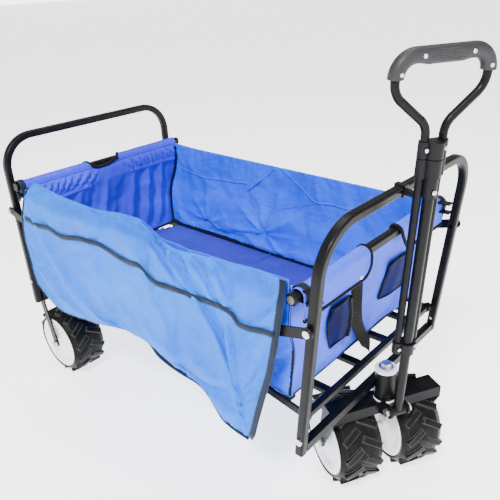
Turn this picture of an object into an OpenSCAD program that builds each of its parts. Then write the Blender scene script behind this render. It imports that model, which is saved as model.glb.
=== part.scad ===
// Folding wagon with a telescoping pull handle.
// Millimetres, +X towards the pull handle, +Z up, wheels on z = 0.

/* [Frame] */
// distance between the front and rear hoops at their feet
wheelbase = 830.5; // [780:0.5:880]
// half the distance between the two legs of a hoop
half_w = 235; // [225:1:250]
// side of the rounded square hoop tube
tube = 16; // [14:1:20]
// height of the hoop feet above the ground
foot_z = 217.4; // [200:0.1:240]
// height of the front hoop's top bar
front_top = 617.9; // [600:0.1:640]
// height of the rear hoop's top bar
rear_top = 627.6; // [600:0.1:650]
// forward lean of the front hoop, degrees
lean = 5.97; // [0:0.01:8]
// bend radius of the hoop corners on the tube's centre line
bend_r = 72; // [60:1:90]

/* [Wheels] */
// tyre outer radius
tyre_r = 88.5; // [80:0.5:95]
// wheel width
wheel_w = 90; // [80:1:100]
// hub disc radius
hub_r = 68; // [60:1:72]
// chevron lugs on each half of a tyre
lugs = 14; // [10:1:18]

/* [Steering and handle] */
// angle the steering stands at, degrees
steer = -29; // [-40:1:40]
// forward lean of the handle, degrees
handle_lean = 4.9; // [0:0.1:10]
// distance from the handle hinge to the grip's centre line
grip_t = 634; // [600:1:660]
// half the spacing of the two sliding rods
rod_s = 15; // [14.5:0.5:18]
// sliding rod diameter
rod_d = 12.5; // [10:0.5:13]
// fixed handle tube diameter
mast_d = 17; // [15:1:20]

/* [Basket] */
// height of the basket rails
rail_z = 504.9; // [490:0.1:520]
// height of the rear basket rail
rear_rail_z = 526; // [500:0.5:535]
// height of the floor hinges
floor_z = 274.4; // [260:0.1:290]
// cloth thickness
cloth = 2; // [1.6:0.1:3]

/* [Hidden] */
$fn = 64;
FX = 373.4;                 // front hoop feet
RX = FX - wheelbase;        // rear hoop feet
tl = tan(lean);
function hoop_x(z) = FX + tl * (z - foot_z);
KX = FX + 22.4;             // kingpin
AZ = 89;                    // axle height
BEAM = 188.1;               // top of the steering beam
P1 = FX - 60;               // front floor hinge
P3 = RX + 45;               // rear floor hinge
P2 = (P1 + P3) / 2;         // centre floor hinge
LY0 = half_w + tube / 2;    // outer face of the legs
RWX = RX + 24;              // rear axle
LF = 430;                   // link length
UP = 463.5;                 // upper link pivot height
LO = 243.4;                 // lower stay pivot height
black = [0.06, 0.06, 0.065];
blue = [0.2, 0.42, 0.92];

// which sub-part to show

// ---------- helpers ----------
module rsq(a, r) {           // square section with rounded corners
  square([a, a - 2 * r], center = true);
  square([a - 2 * r, a], center = true);
  for (i = [-1, 1], j = [-1, 1]) translate([i * (a / 2 - r), j * (a / 2 - r)]) circle(r);
}
module both() { children(); mirror([0, 1, 0]) children(); }
module prism_y(y0, y1) { translate([0, y1, 0]) rotate([90, 0, 0]) linear_extrude(y1 - y0) children(); }
module prism_x(x0, x1) { translate([x0, 0, 0]) rotate([90, 0, 90]) linear_extrude(x1 - x0) children(); }
module cyl_y(x, z, y0, y1, r) { translate([x, y0, z]) rotate([-90, 0, 0]) cylinder(h = y1 - y0, r = r); }
module hoop2(h, w, rb) {     // upright hoop, feet on z = 0, tube centred on x = 0
  difference() {
    union() {
      both() translate([0, w, 0]) linear_extrude(h - rb) rsq(tube, 4);
      both() translate([0, w - rb, h - rb]) rotate([90, 0, 90]) rotate_extrude(angle = 90) translate([rb, 0]) rsq(tube, 4);
      translate([0, -(w - rb), h]) rotate([-90, 0, 0]) linear_extrude(2 * (w - rb)) rsq(tube, 4);
    }
    both() translate([0, w, -1]) cylinder(h = 25, r = tube / 2 - 2.5);
  }
}
module pivot_hole(x, z, r) { rotate([90, 0, 0]) translate([x, z, -300]) cylinder(h = 600, r = r); }
module steered() { translate([KX, 0, 0]) rotate([0, 0, steer]) children(); }
module on_handle() { steered() translate([45, 0, 192]) rotate([0, handle_lean, 0]) children(); }

// ---------- front frame ----------
module front_hoop() color(black) difference() {
  translate([FX, 0, foot_z]) rotate([0, lean, 0]) hoop2((front_top - foot_z) / cos(lean), half_w, bend_r);
  pivot_hole(hoop_x(UP), UP, 3.5);
  pivot_hole(hoop_x(LO), LO, 3.5);
}
module front_feet() color(black) translate([FX, 0, foot_z]) rotate([0, lean, 0]) both() translate([0, half_w, 0]) union() {
  cylinder(h = 9, r = tube / 2 - 2.5);
  translate([0, 0, -4]) linear_extrude(4) rsq(tube, 4);
}
module steering_crossbar() color(black) difference() {
  translate([FX - 7.5, -(half_w - tube / 2), foot_z - 3.5]) cube([15, 2 * (half_w - tube / 2), 15]);
  translate([KX, 0, 180]) cylinder(h = 90, r = 19.5);
}
module floor_crossbar_front() color(black) {
  prism_y(-209, 209) translate([FX - 5, floor_z]) rsq(13, 3);
  cyl_y(FX - 5, floor_z, -(half_w - tube / 2), half_w - tube / 2, 6.5);
  for (y = [-139, -42, 56, 146]) translate([P1 + 6, y - 8, floor_z - 4]) cube([FX - 5 - 6.5 - P1 - 6, 16, 8]);
}
module floor_pivot_tube_front() color(black) difference() {
  cyl_y(P1, floor_z, -203, 203, 7);
  cyl_y(P1, floor_z, -204, 204, 5.2);
  for (y = [-139, -42, 56, 146]) translate([P1 + 6, y - 8, floor_z - 4]) cube([20, 16, 8]);
}
module head_tube() color(black) difference() {
  union() {
    translate([KX, 0, 193]) cylinder(h = 60, r = 19.5);
    translate([KX, 0, 193]) cylinder(h = 5, r = 21);
  }
  translate([KX, 0, 190]) cylinder(h = 70, r = 14);
}
module head_bushes() color([0.93, 0.93, 0.9]) translate([KX, 0, 0]) difference() {
  union() {
    translate([0, 0, 253]) cylinder(h = 4, r = 21);
    translate([0, 0, 235]) cylinder(h = 18, r = 14);
    translate([0, 0, 189]) cylinder(h = 4, r = 21);
    translate([0, 0, 193]) cylinder(h = 18, r = 14);
  }
  translate([0, 0, 180]) cylinder(h = 90, r = 8.06);
}
module handle_clip() color(black) translate([hoop_x(front_top), -26, front_top]) rotate([0, lean, 0]) difference() {
  union() {
    translate([-tube / 2 - 1.5, -6, -tube / 2 - 1.5]) cube([tube + 3, 12, tube + 3]);
    translate([4, -5, -5]) cube([24, 10, 8]);
  }
  translate([-tube / 2, -10, -tube / 2]) cube([tube, 20, tube]);
}
RLX = FX - 7;                // front rail
module front_rail() color(black) difference() {
  prism_y(-240, 240) translate([RLX, rail_z]) rsq(16, 4);
  both() cyl_y(RLX, rail_z, 224, 242, 5.5);
}
module front_rail_caps() color(black) both() {
  cyl_y(RLX, rail_z, 226, 240, 5.5);
  prism_y(240, 244) translate([RLX, rail_z]) rsq(17, 4);
}
module front_rail_bolts() color([0.75, 0.75, 0.76]) both() {
  translate([RLX - 18, 216, rail_z]) rotate([0, 90, 0]) cylinder(h = 10, r = 3);
  translate([RLX - 21, 216, rail_z]) rotate([0, 90, 0]) cylinder(h = 3, r = 5.5);
}
module front_rail_brackets() color(black) both() difference() {
  union() {
    translate([RLX - 10, 208, rail_z - 9]) cube([2, 16, 18]);
    translate([RLX - 10, 208, rail_z + 8]) cube([hoop_x(rail_z) - RLX + 6, half_w - tube / 2 - 208, 2]);
    translate([RLX - 10, 208, rail_z - 10]) cube([hoop_x(rail_z) - RLX + 6, half_w - tube / 2 - 208, 2]);
  }
  translate([RLX - 18, 216, rail_z]) rotate([0, 90, 0]) cylinder(h = 12, r = 3);
}
module front_rivets() color([0.8, 0.8, 0.82]) both() {
  cyl_y(hoop_x(UP), UP, LY0 - 4, LY0 + 7.6, 3.4);
  cyl_y(hoop_x(UP), UP, LY0 + 7.6, LY0 + 10.4, 6);
  cyl_y(hoop_x(LO), LO, LY0 - tube, LY0, 3.4);
  cyl_y(hoop_x(LO), LO, LY0, LY0 + 2.6, 6);
}
module front_wall() color(blue) difference() {
  union() {
    prism_y(-203, 203) polygon([[FX - 43, 290], [FX - 43 + cloth, 290], [RLX - 10.5 + cloth, 460], [RLX - 10.5 + cloth, rail_z + 11], [RLX - 10.5, rail_z + 13], [RLX - 10.5, 460]]);
    prism_y(-203, 203) polygon([[RLX - 10.5, rail_z + 11], [RLX + 12.5, rail_z + 11], [RLX + 12.5, rail_z - 24], [RLX + 12.5 + cloth, rail_z - 24], [RLX + 12.5 + cloth, rail_z + 13], [RLX - 10.5, rail_z + 13]]);
  }
  translate([RLX - 30, -52, rail_z - 10]) cube([70, 104, 40]);
}
module front_pockets() color([0.05, 0.07, 0.2]) for (y = [-120, 100]) prism_y(y - 50, y + 50) difference() {
  polygon([[pocket_x(330), 330], [pocket_x(330) + 14, 334], [pocket_x(450) + 14, 450], [pocket_x(450), 450]]);
  polygon([[pocket_x(331.5) + 1.5, 332.5], [pocket_x(330) + 12.4, 335.5], [pocket_x(450) + 12.4, 451], [pocket_x(451) + 1.5, 451]]);
}
function pocket_x(z) = FX - 43 + cloth + (z - 290) / 170 * (RLX - 10.5 - FX + 43) + 0.05;
module front_strap() color(black) {
  translate([RLX + 12.5 + cloth, -30, 345]) cube([1.8, 25, rail_z + 12 - 345]);
}

// ---------- rear frame ----------
module rear_hoop() color(black) difference() {
  translate([RX, 0, foot_z]) hoop2(rear_top - foot_z, half_w, bend_r - 2);
  pivot_hole(RX, UP, 3.5);
  pivot_hole(RX, floor_z, 3.5);
}
module rear_feet() color(black) both() translate([RX, half_w, 0]) {
  translate([0, 0, foot_z]) cylinder(h = 9, r = tube / 2 - 2.5);
  translate([0, 0, foot_z - 4]) linear_extrude(4) rsq(tube, 4);
}
module rear_cross_beam() color(black) difference() {
  translate([RX - 11, -(half_w - tube / 2), foot_z - 4]) cube([22, 2 * (half_w - tube / 2), 30]);
  translate([RX - 8.5, -240, foot_z - 1.5]) cube([17, 480, 25]);
}
module floor_pivot_tube_rear() color(black) union() {
  difference() { cyl_y(P3, floor_z, -203, 203, 7); cyl_y(P3, floor_z, -204, 204, 5.2); }
  for (y = [-150, 0, 150]) difference() {
    union() {
      translate([RX - 11, y - 8, floor_z - 4]) cube([P3 - RX + 11, 16, 8]);
      translate([RX - 11, y - 8, foot_z + 26]) cube([8, 16, floor_z + 4 - foot_z - 26]);
    }
    cyl_y(P3, floor_z, -213, 213, 6.5);
  }
}
RRX = RX + 37;
module rear_rail() color(black) difference() {
  prism_y(-240, 240) translate([RRX, rear_rail_z]) rsq(16, 4);
  both() cyl_y(RRX, rear_rail_z, 224, 242, 5.5);
}
module rear_rail_caps() color(black) both() {
  cyl_y(RRX, rear_rail_z, 226, 240, 5.5);
  prism_y(240, 244) translate([RRX, rear_rail_z]) rsq(17, 4);
}
module rear_rail_struts() color(black) both() {
  translate([RX + tube / 2, half_w - 9, rear_rail_z - 5]) cube([RRX - 8 - RX - tube / 2, 8, 10]);
  prism_y(half_w - 9, half_w - 1) polygon([[RX + tube / 2, rear_rail_z - 44], [RX + tube / 2, rear_rail_z - 32], [RRX - 6, rear_rail_z - 8], [RRX + 4, rear_rail_z - 8]]);
}
module fork_side(x0, z0, x1, z1, r) {
  a = atan2(z1 - z0, x1 - x0); l = sqrt(pow(x1 - x0, 2) + pow(z1 - z0, 2));
  translate([x0, z0]) { circle(r); rotate(a) translate([0, -r]) square([l, 2 * r]); }
  translate([x1, z1]) circle(r);
}
FY = 222.9;                  // inner face of the outer forks
module rear_forks() color(black) both() difference() {
  union() {
    prism_y(FY, FY + 4) fork_side(RX, foot_z - 14, RWX, AZ, 9);
    prism_y(FY, FY + 4) translate([RX - 9, foot_z - 20]) square([18, 16]);
  }
  pivot_hole(RWX, AZ, 5);
}
module rear_inner_forks() color(black) both() difference() {
  union() {
    prism_y(124, 128) fork_side(RX, foot_z - 14, RWX, AZ, 10);
    prism_y(124, 128) translate([RX - 10, foot_z - 20]) square([20, 16]);
  }
  pivot_hole(RWX, AZ, 5);
}
module rear_axles() color([0.6, 0.6, 0.62]) both() cyl_y(RWX, AZ, 118, FY + 13, 5);
module rear_axle_nuts() color([0.75, 0.75, 0.76]) both() {
  translate([RWX, FY + 4, AZ]) rotate([-90, 0, 0]) difference() { cylinder(h = 6, r = 8.5, $fn = 6); translate([0, 0, -1]) cylinder(h = 8, r = 5); }
  translate([RWX, 118, AZ]) rotate([-90, 0, 0]) difference() { cylinder(h = 6, r = 8.5, $fn = 6); translate([0, 0, -1]) cylinder(h = 8, r = 5); }
}
module rear_rivets() color([0.8, 0.8, 0.82]) both() {
  cyl_y(RX, UP, LY0 - 4, LY0 + 7.6, 3.4);
  cyl_y(RX, UP, LY0 + 7.6, LY0 + 13.2, 6);
  cyl_y(RX, floor_z, 209, LY0, 3.4);
  cyl_y(RX, floor_z, LY0, LY0 + 2.6, 6);
  cyl_y(RX, floor_z, 206.5, 209, 6);
}
module rear_wall() color(blue) difference() {
  union() {
    prism_y(-203, 203) polygon([[RX + 29, 290], [RX + 29 + cloth, 290], [RX + 29 + cloth, 450], [RRX + 10.5, 470], [RRX + 10.5, rear_rail_z + 13], [RRX + 10.5 - cloth, rear_rail_z + 11], [RRX + 10.5 - cloth, 471], [RX + 29, 451]]);
    prism_y(-203, 203) polygon([[RRX + 10.5 - cloth, rear_rail_z + 11], [RRX - 12.5, rear_rail_z + 11], [RRX - 12.5, rear_rail_z - 24], [RRX - 12.5 - cloth, rear_rail_z - 24], [RRX - 12.5 - cloth, rear_rail_z + 13], [RRX + 10.5, rear_rail_z + 13]]);
  }
  translate([RRX - 40, -52, rear_rail_z - 10]) cube([70, 104, 40]);
}

// ---------- folding floor ----------
module floor_frame_front() color(black) difference() {
  union() {
    both() {
      cyl_y(P1, floor_z, 183, 197, 11);
      translate([P2, 183, floor_z - 7]) cube([P1 - P2, 14, 14]);
    }
    cyl_y(P2, floor_z, -197, 197, 6);
    for (x = [P1 - 60, P1 - 190]) translate([x - 6, -184, floor_z - 6]) cube([12, 368, 12]);
  }
  cyl_y(P1, floor_z, -200, 200, 7.06);
}
module floor_panel_front() color(blue) translate([P2 + 9, -200, floor_z + 7]) cube([P1 - P2 - 21, 400, 5]);
module floor_frame_rear() color(black) difference() {
  union() {
    both() {
      cyl_y(P3, floor_z, 165, 179, 11);
      cyl_y(P2, floor_z, 165, 179, 10);
      translate([P3, 165, floor_z - 7]) cube([P2 - P3, 14, 14]);
    }
    for (x = [P3 + 60, P3 + 190]) translate([x - 6, -166, floor_z - 6]) cube([12, 332, 12]);
  }
  cyl_y(P3, floor_z, -200, 200, 7.06);
  cyl_y(P2, floor_z, -200, 200, 6.06);
}
module floor_panel_rear() color(blue) translate([P3 + 12, -200, floor_z + 7]) cube([P2 - P3 - 21, 400, 5]);

// ---------- side links ----------
module bar2(l, r, re, rh) { difference() { union() { circle(re); translate([0, -r]) square([l, 2 * r]); translate([l, 0]) circle(r); } circle(rh); } }
CX = P2 + 8; CZ = 345;
module link_plane(x, z, y0, y1, r, re, rh) {
  a = atan2(CZ - z, CX - x); l = sqrt(pow(CX - x, 2) + pow(CZ - z, 2)) - 2;
  both() translate([0, y1, 0]) rotate([90, 0, 0]) linear_extrude(y1 - y0) translate([x, z]) rotate(a) bar2(l - 9, r, re, rh);
}
module links_front() color(black) link_plane(hoop_x(UP), UP, LY0 + 4.6, LY0 + 7.3, 9, 10, 3.46);
module links_rear() color(black) link_plane(RX, UP, LY0 + 4.6, LY0 + 7.3, 9, 10, 3.46);
module stays_front() color(black) link_plane(FX - 5, floor_z, 211, 216.2, 6.5, 10, 6.56);
module stays_rear() color(black) link_plane(RX, floor_z, 216.8, 222, 6.5, 8, 3.46);

// ---------- basket sides ----------
WALL_X0 = RRX + 12; WALL_X1 = P1 + 26;
module side_wall2() prism_x(WALL_X0, WALL_X1) polygon([[204, 289], [204 + cloth, 289], [204 + cloth, 380], [226 + cloth, 430], [226 + cloth, 515], [226, 515], [226, 431], [204, 381]]);
module side_wall_near() color(blue) mirror([0, 1, 0]) side_wall2();
module side_wall_far() color(blue) side_wall2();
module side_flap() color(blue) prism_y(-(LY0 + 13.2), -(LY0 + 11.2)) polygon([[RX + 24, 500], [FX - 20, 515], [FX - 40, 300], [FX - 100, 185], [FX - 250, 250], [FX - 420, 285], [RX + 120, 235], [RX + 60, 240]]);

// ---------- steering ----------
module steering_beam() color(black) steered() difference() {
  union() {
    translate([-25.5, -117, BEAM - 3]) cube([41, 234, 3]);
    translate([12.5, -117, BEAM - 22]) cube([3, 234, 22]);
    both() translate([0, 114, 0]) rotate([90, 0, 0]) translate([0, 0, -3]) linear_extrude(3) difference() {
      union() {
        polygon([[-25.5, BEAM], [15.5, BEAM], [15.5, BEAM - 24], [-28, AZ - 7], [-44, AZ + 6], [-46, AZ + 10]]);
        translate([-36, AZ]) circle(12);
      }
      translate([-36, AZ]) circle(5);
    }
  }
  translate([0, 0, BEAM - 10]) cylinder(h = 20, r = 8);
}
module kingpin() color([0.8, 0.8, 0.82]) translate([KX, 0, 0]) {
  translate([0, 0, BEAM - 6]) cylinder(h = 257.6 - BEAM + 6, r = 8);
  translate([0, 0, 257.6]) cylinder(h = 2.6, r = 14);
  translate([0, 0, 260.2]) cylinder(h = 8, r = 10, $fn = 6);
  translate([0, 0, BEAM - 5]) cylinder(h = 2, r = 10);
}
module handle_ears() color(black) steered() for (s = [-1, 1]) translate([0, s * 17.5 + 2.5, 0]) rotate([90, 0, 0]) linear_extrude(5) difference() {
  union() {
    polygon([[15.5, BEAM - 20], [15.5, BEAM + 6], [24, BEAM + 13], [45, 192 + 12], [45, 192 - 12]]);
    translate([45, 192]) circle(12);
  }
  translate([45, 192]) circle(4);
}
module hinge_bolt() color([0.75, 0.75, 0.76]) steered() translate([45, 0, 192]) rotate([90, 0, 0]) {
  translate([0, 0, -24]) cylinder(h = 48, r = 4);
  translate([0, 0, 20]) difference() { cylinder(h = 6.5, r = 8, $fn = 6); translate([0, 0, -1]) cylinder(h = 5, r = 4); }
  translate([0, 0, -25]) difference() { cylinder(h = 5, r = 8); translate([0, 0, 1]) cylinder(h = 5, r = 4); }
}
module front_axle() color([0.6, 0.6, 0.62]) steered() cyl_y(-36, AZ, -126, 126, 5);
module front_axle_nuts() color([0.75, 0.75, 0.76]) steered() both() translate([-36, 117, AZ]) rotate([-90, 0, 0]) difference() { cylinder(h = 6, r = 8.5, $fn = 6); translate([0, 0, -1]) cylinder(h = 8, r = 5); }

// ---------- wheels (axis along Z, centred) ----------
module tyre() {
  w = wheel_w / 2;
  rotate_extrude() difference() {
    union() {
      translate([hub_r, -w + 2]) square([4, 2 * w - 4]);
      polygon([[hub_r, -w + 2], [hub_r + 5, -w], [hub_r + 14, -w + 12], [hub_r + 15.5, -w + 22], [hub_r + 15.5, w - 22], [hub_r + 14, w - 12], [hub_r + 5, w], [hub_r, w - 2]]);
    }
    translate([hub_r - 1, -w - 1]) square([1, 2 * w + 2]);
  }
  intersection() {
    difference() { cylinder(h = 2 * w, r = tyre_r, center = true); cylinder(h = 2 * w + 2, r = hub_r + 12, center = true); }
    union() for (i = [0 : lugs - 1], s = [-1, 1])
      rotate([0, 0, (i + (s > 0 ? 0.5 : 0)) * 360 / lugs]) translate([tyre_r - 9, 0, s * (w / 2 - 3)]) rotate([s * 32, 0, 0]) cube([19, 12, w - 5], center = true);
  }
}
module hub() {
  w = wheel_w / 2;
  rotate_extrude() polygon([[5.06, -w - 1], [14, -w - 1], [16, -w + 4], [46, -w + 7], [56, -w + 1], [64, -w], [hub_r, -w + 2], [hub_r, w - 2], [64, w], [56, w - 1], [46, w - 7], [16, w - 4], [14, w + 1], [5.06, w + 1]]);
}
RWY = 131.5 + wheel_w / 2;
FWY = 66;
module at_rear(s) translate([RWX, s * RWY, AZ]) rotate([90, 0, 0]) children();
module at_front(s) steered() translate([-36, s * FWY, AZ]) rotate([90, 0, 0]) children();
module tyre_front_near() color([0.05, 0.05, 0.05]) at_front(-1) tyre();
module hub_front_near() color([0.93, 0.93, 0.93]) at_front(-1) hub();
module tyre_front_far() color([0.05, 0.05, 0.05]) at_front(1) tyre();
module hub_front_far() color([0.93, 0.93, 0.93]) at_front(1) hub();
module tyre_rear_near() color([0.05, 0.05, 0.05]) at_rear(-1) tyre();
module hub_rear_near() color([0.93, 0.93, 0.93]) at_rear(-1) hub();
module tyre_rear_far() color([0.05, 0.05, 0.05]) at_rear(1) tyre();
module hub_rear_far() color([0.93, 0.93, 0.93]) at_rear(1) hub();

// ---------- handle ----------
RB = -7;                     // rods stand this far behind the fixed tube
module handle_tube() color(black) on_handle() difference() {
  union() {
    rotate([90, 0, 0]) cylinder(h = 29, r = 9.5, center = true);
    cylinder(h = 470, r = mast_d / 2);
  }
  rotate([90, 0, 0]) cylinder(h = 40, r = 4.06, center = true);
  translate([0, 0, 12]) cylinder(h = 460, r = mast_d / 2 - 1.8);
}
module handle_sleeve() color(black) on_handle() difference() {
  union() {
    rod_case(461, 28.5, 8.5);
    translate([0, 0, 461]) cylinder(h = 28.5, r = 12.5);
    translate([0, 0, 430]) cylinder(h = 31, r = 10.8);
    translate([9, 0, 441]) rotate([0, 90, 0]) cylinder(h = 3.6, r = 4);
  }
  translate([0, 0, 420]) cylinder(h = 50, r = mast_d / 2);
  for (s = [-1, 1]) translate([RB, s * rod_s, 420]) cylinder(h = 100, r = rod_d / 2 + 0.35);
}
module rod_case(z, h, r) translate([RB, 0, z]) {
  for (s = [-1, 1]) translate([0, s * rod_s, 0]) cylinder(h = h, r = r);
  translate([-r, -rod_s, 0]) cube([2 * r, 2 * rod_s, h]);
}
module rod_arc(r, a) rotate_extrude(angle = a) translate([r, 0]) circle(rod_d / 2);
A50 = 50;
R1 = 30; R2 = 35; LS = 45.4;
module rod_side() {          // in the y-z plane, s along +Y
  translate([0, rod_s, 136]) cylinder(h = 523 - 136, r = rod_d / 2);
  // outward bend, straight, return bend, grip end
  translate([0, rod_s + R1, 523]) rotate([90, 0, 90]) rotate([0, 0, 180 - A50]) rod_arc(R1, A50);
  y1 = rod_s + R1 * (1 - cos(A50)); z1 = 523 + R1 * sin(A50);
  translate([0, y1, z1]) rotate([-A50, 0, 0]) cylinder(h = LS, r = rod_d / 2);
  y2 = y1 + LS * sin(A50); z2 = z1 + LS * cos(A50);
  ye = y2 + R2 * (1 - cos(A50)); ze = z2 + R2 * sin(A50);
  translate([0, ye - R2, ze]) rotate([90, 0, 90]) rotate([0, 0, -A50]) rod_arc(R2, A50);
  translate([0, ye, ze]) cylinder(h = 15, r = rod_d / 2);
  // swage marks where straight and bent lengths meet
  translate([0, rod_s, 523]) sphere(r = rod_d / 2 + 0.25);
  translate([0, y1, z1]) sphere(r = rod_d / 2 + 0.25);
  translate([0, y2, z2]) sphere(r = rod_d / 2 + 0.25);
  translate([0, ye, ze]) sphere(r = rod_d / 2 + 0.25);
}
SE = rod_s + R1 * (1 - cos(A50)) + LS * sin(A50) + R2 * (1 - cos(A50));
module handle_rods() color(black) on_handle() translate([RB, 0, 0]) { rod_side(); mirror([0, 1, 0]) rod_side(); }
module rod_clamp() color(black) on_handle() difference() {
  union() {
    rod_case(137, 22, 8.5);
    translate([0, 0, 137]) cylinder(h = 22, r = 12.5);
    for (s = [-1, 1]) translate([RB + 7, s * (rod_s + 1), 148]) rotate([0, 90, 0]) cylinder(h = 3.4, r = 3.6);
  }
  translate([0, 0, 130]) cylinder(h = 40, r = mast_d / 2 + 0.35);
  for (s = [-1, 1]) translate([RB, s * rod_s, 130]) cylinder(h = 40, r = rod_d / 2);
}
module rod_block() color(black) on_handle() difference() {
  union() {
    rod_case(491, 24, 8.5);
    translate([0, 0, 491]) cylinder(h = 24, r = 12.5);
    for (s = [-1, 1]) translate([RB + 7, s * (rod_s + 1), 504]) rotate([0, 90, 0]) cylinder(h = 3.4, r = 3.6);
  }
  for (s = [-1, 1]) translate([RB, s * rod_s, 480]) cylinder(h = 60, r = rod_d / 2);
}
GC = 28;                     // corner radius of the grip
GR = 11;                     // grip radius
module grip_half() {
  difference() {
    union() {
      translate([0, -(SE - GC), grip_t]) rotate([-90, 0, 0]) cylinder(h = 2 * (SE - GC), r = GR);
      // finger swell under the bar
      translate([0, -26, grip_t - 1.5]) rotate([-90, 0, 0]) cylinder(h = 52, r = GR + 0.8);
      both() translate([0, 26, grip_t - 1.5]) rotate([-90, 0, 0]) cylinder(h = 14, r1 = GR + 0.8, r2 = GR - 1.6);
      both() translate([0, SE - GC, grip_t - GC]) rotate([90, 0, 90]) rotate_extrude(angle = 90) translate([GC, 0]) circle(GR);
    }
    both() translate([0, SE, 600]) cylinder(h = 18.2, r = rod_d / 2);
    for (y = [-38, 38]) translate([9.2, y, grip_t]) rotate([0, 90, 0]) cylinder(h = 5, r = 3.6);
  }
}
module grip_shells() color([0.07, 0.07, 0.07]) on_handle() translate([RB, 0, 0]) {
  intersection() { grip_half(); translate([0, -100, 580]) cube([30, 200, 100]); }
  intersection() { grip_half(); translate([-30.25, -100, 580]) cube([30, 200, 100]); }
  for (y = [-38, 38]) translate([9.2, y, grip_t]) rotate([0, 90, 0]) difference() { cylinder(h = 1.6, r = 3.4); translate([-0.5, -4, 0.9]) cube([1, 8, 2]); }
}

front_hoop();
front_feet();
steering_crossbar();
floor_crossbar_front();
floor_pivot_tube_front();
head_tube();
head_bushes();
handle_clip();
front_rail();
front_rail_caps();
front_rail_bolts();
front_rail_brackets();
front_rivets();
front_wall();
front_pockets();
front_strap();
rear_hoop();
rear_feet();
rear_cross_beam();
floor_pivot_tube_rear();
rear_rail();
rear_rail_caps();
rear_rail_struts();
rear_forks();
rear_inner_forks();
rear_axles();
rear_axle_nuts();
rear_rivets();
rear_wall();
floor_frame_front();
floor_panel_front();
floor_frame_rear();
floor_panel_rear();
links_front();
stays_front();
links_rear();
stays_rear();
side_wall_near();
side_wall_far();
side_flap();
steering_beam();
kingpin();
handle_ears();
hinge_bolt();
front_axle();
front_axle_nuts();
tyre_front_near();
hub_front_near();
tyre_front_far();
hub_front_far();
tyre_rear_near();
hub_rear_near();
tyre_rear_far();
hub_rear_far();
handle_tube();
handle_sleeve();
handle_rods();
rod_clamp();
rod_block();
grip_shells();
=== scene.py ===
import bpy, bmesh, math, random
import numpy as np
from mathutils import Vector, Matrix


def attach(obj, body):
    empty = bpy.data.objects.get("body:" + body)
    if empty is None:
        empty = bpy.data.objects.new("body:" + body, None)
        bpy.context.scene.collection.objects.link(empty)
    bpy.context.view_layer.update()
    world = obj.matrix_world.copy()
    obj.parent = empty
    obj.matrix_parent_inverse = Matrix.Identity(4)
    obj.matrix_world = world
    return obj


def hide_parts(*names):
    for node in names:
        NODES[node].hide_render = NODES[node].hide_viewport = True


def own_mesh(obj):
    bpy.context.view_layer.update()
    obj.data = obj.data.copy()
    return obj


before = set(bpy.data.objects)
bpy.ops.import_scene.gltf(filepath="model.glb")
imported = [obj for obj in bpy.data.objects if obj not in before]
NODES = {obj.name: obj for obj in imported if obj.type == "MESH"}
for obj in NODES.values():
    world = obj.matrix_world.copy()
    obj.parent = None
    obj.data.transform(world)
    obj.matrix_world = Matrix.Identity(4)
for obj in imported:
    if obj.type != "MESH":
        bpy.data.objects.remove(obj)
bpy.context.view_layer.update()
X0, Z0 = 373.4, 67.4                      # design frame (mm) to row frame
CAM = (435.14, -800.26, 851.16)
YAW, PITCH, ROLL, FPX = 2.3186, 0.4367, -0.0552, 570.93


def cam_axes():
    cy, sy, cp, sp = math.cos(YAW), math.sin(YAW), math.cos(PITCH), math.sin(PITCH)
    f = np.array([cy * cp, sy * cp, -sp]); r = np.array([sy, -cy, 0.0]); u = np.cross(r, f)
    cr, sr = math.cos(ROLL), math.sin(ROLL)
    return cr * r + sr * u, -sr * r + cr * u, f


R_, U_, F_ = cam_axes()
CA = np.array(CAM)


def lift(px, py, y):
    """Point of the picture plane, carried to the upright plane at y (design mm)."""
    d = F_ + (px - 250) / FPX * R_ - (py - 250) / FPX * U_
    s = (y - CA[1]) / d[1]
    return CA + s * d


def lift_x(px, py, x):
    d = F_ + (px - 250) / FPX * R_ - (py - 250) / FPX * U_
    s = (x - CA[0]) / d[0]
    return CA + s * d


def W(p):
    return ((p[0] + X0) / 1000.0, p[1] / 1000.0, (p[2] + Z0) / 1000.0)


# ------------------------------------------------------------------ materials
def mat(name, base, rough=0.5, metal=0.0, spec=0.5, coat=0.0, sheen=0.0):
    m = bpy.data.materials.new(name)
    m.use_nodes = True
    nt = m.node_tree
    b = nt.nodes["Principled BSDF"]
    b.inputs["Base Color"].default_value = (*base, 1)
    b.inputs["Roughness"].default_value = rough
    b.inputs["Metallic"].default_value = metal
    b.inputs["Specular IOR Level"].default_value = spec
    b.inputs["Coat Weight"].default_value = coat
    b.inputs["Sheen Weight"].default_value = sheen
    return m, nt, b


def N(nt, kind, **kw):
    n = nt.nodes.new(kind)
    for k, v in kw.items():
        setattr(n, k, v)
    return n


def coords(nt):
    return N(nt, "ShaderNodeTexCoord").outputs["Object"]


def noise(nt, vec, scale, detail=4, rough=0.55):
    n = N(nt, "ShaderNodeTexNoise")
    n.inputs["Scale"].default_value = scale
    n.inputs["Detail"].default_value = detail
    n.inputs["Roughness"].default_value = rough
    nt.links.new(vec, n.inputs["Vector"])
    return n.outputs["Fac"]


def ramp(nt, fac, stops):
    r = N(nt, "ShaderNodeValToRGB")
    el = r.color_ramp.elements
    while len(el) < len(stops):
        el.new(0.5)
    for e, (p, c) in zip(el, stops):
        e.position = p
        e.color = (*c, 1)
    nt.links.new(fac, r.inputs["Fac"])
    return r.outputs["Color"]


def math_(nt, op, a, b=None, clamp=False):
    n = N(nt, "ShaderNodeMath", operation=op, use_clamp=clamp)
    for i, v in enumerate((a, b)):
        if v is None:
            continue
        if isinstance(v, (int, float)):
            n.inputs[i].default_value = v
        else:
            nt.links.new(v, n.inputs[i])
    return n.outputs[0]


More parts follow.
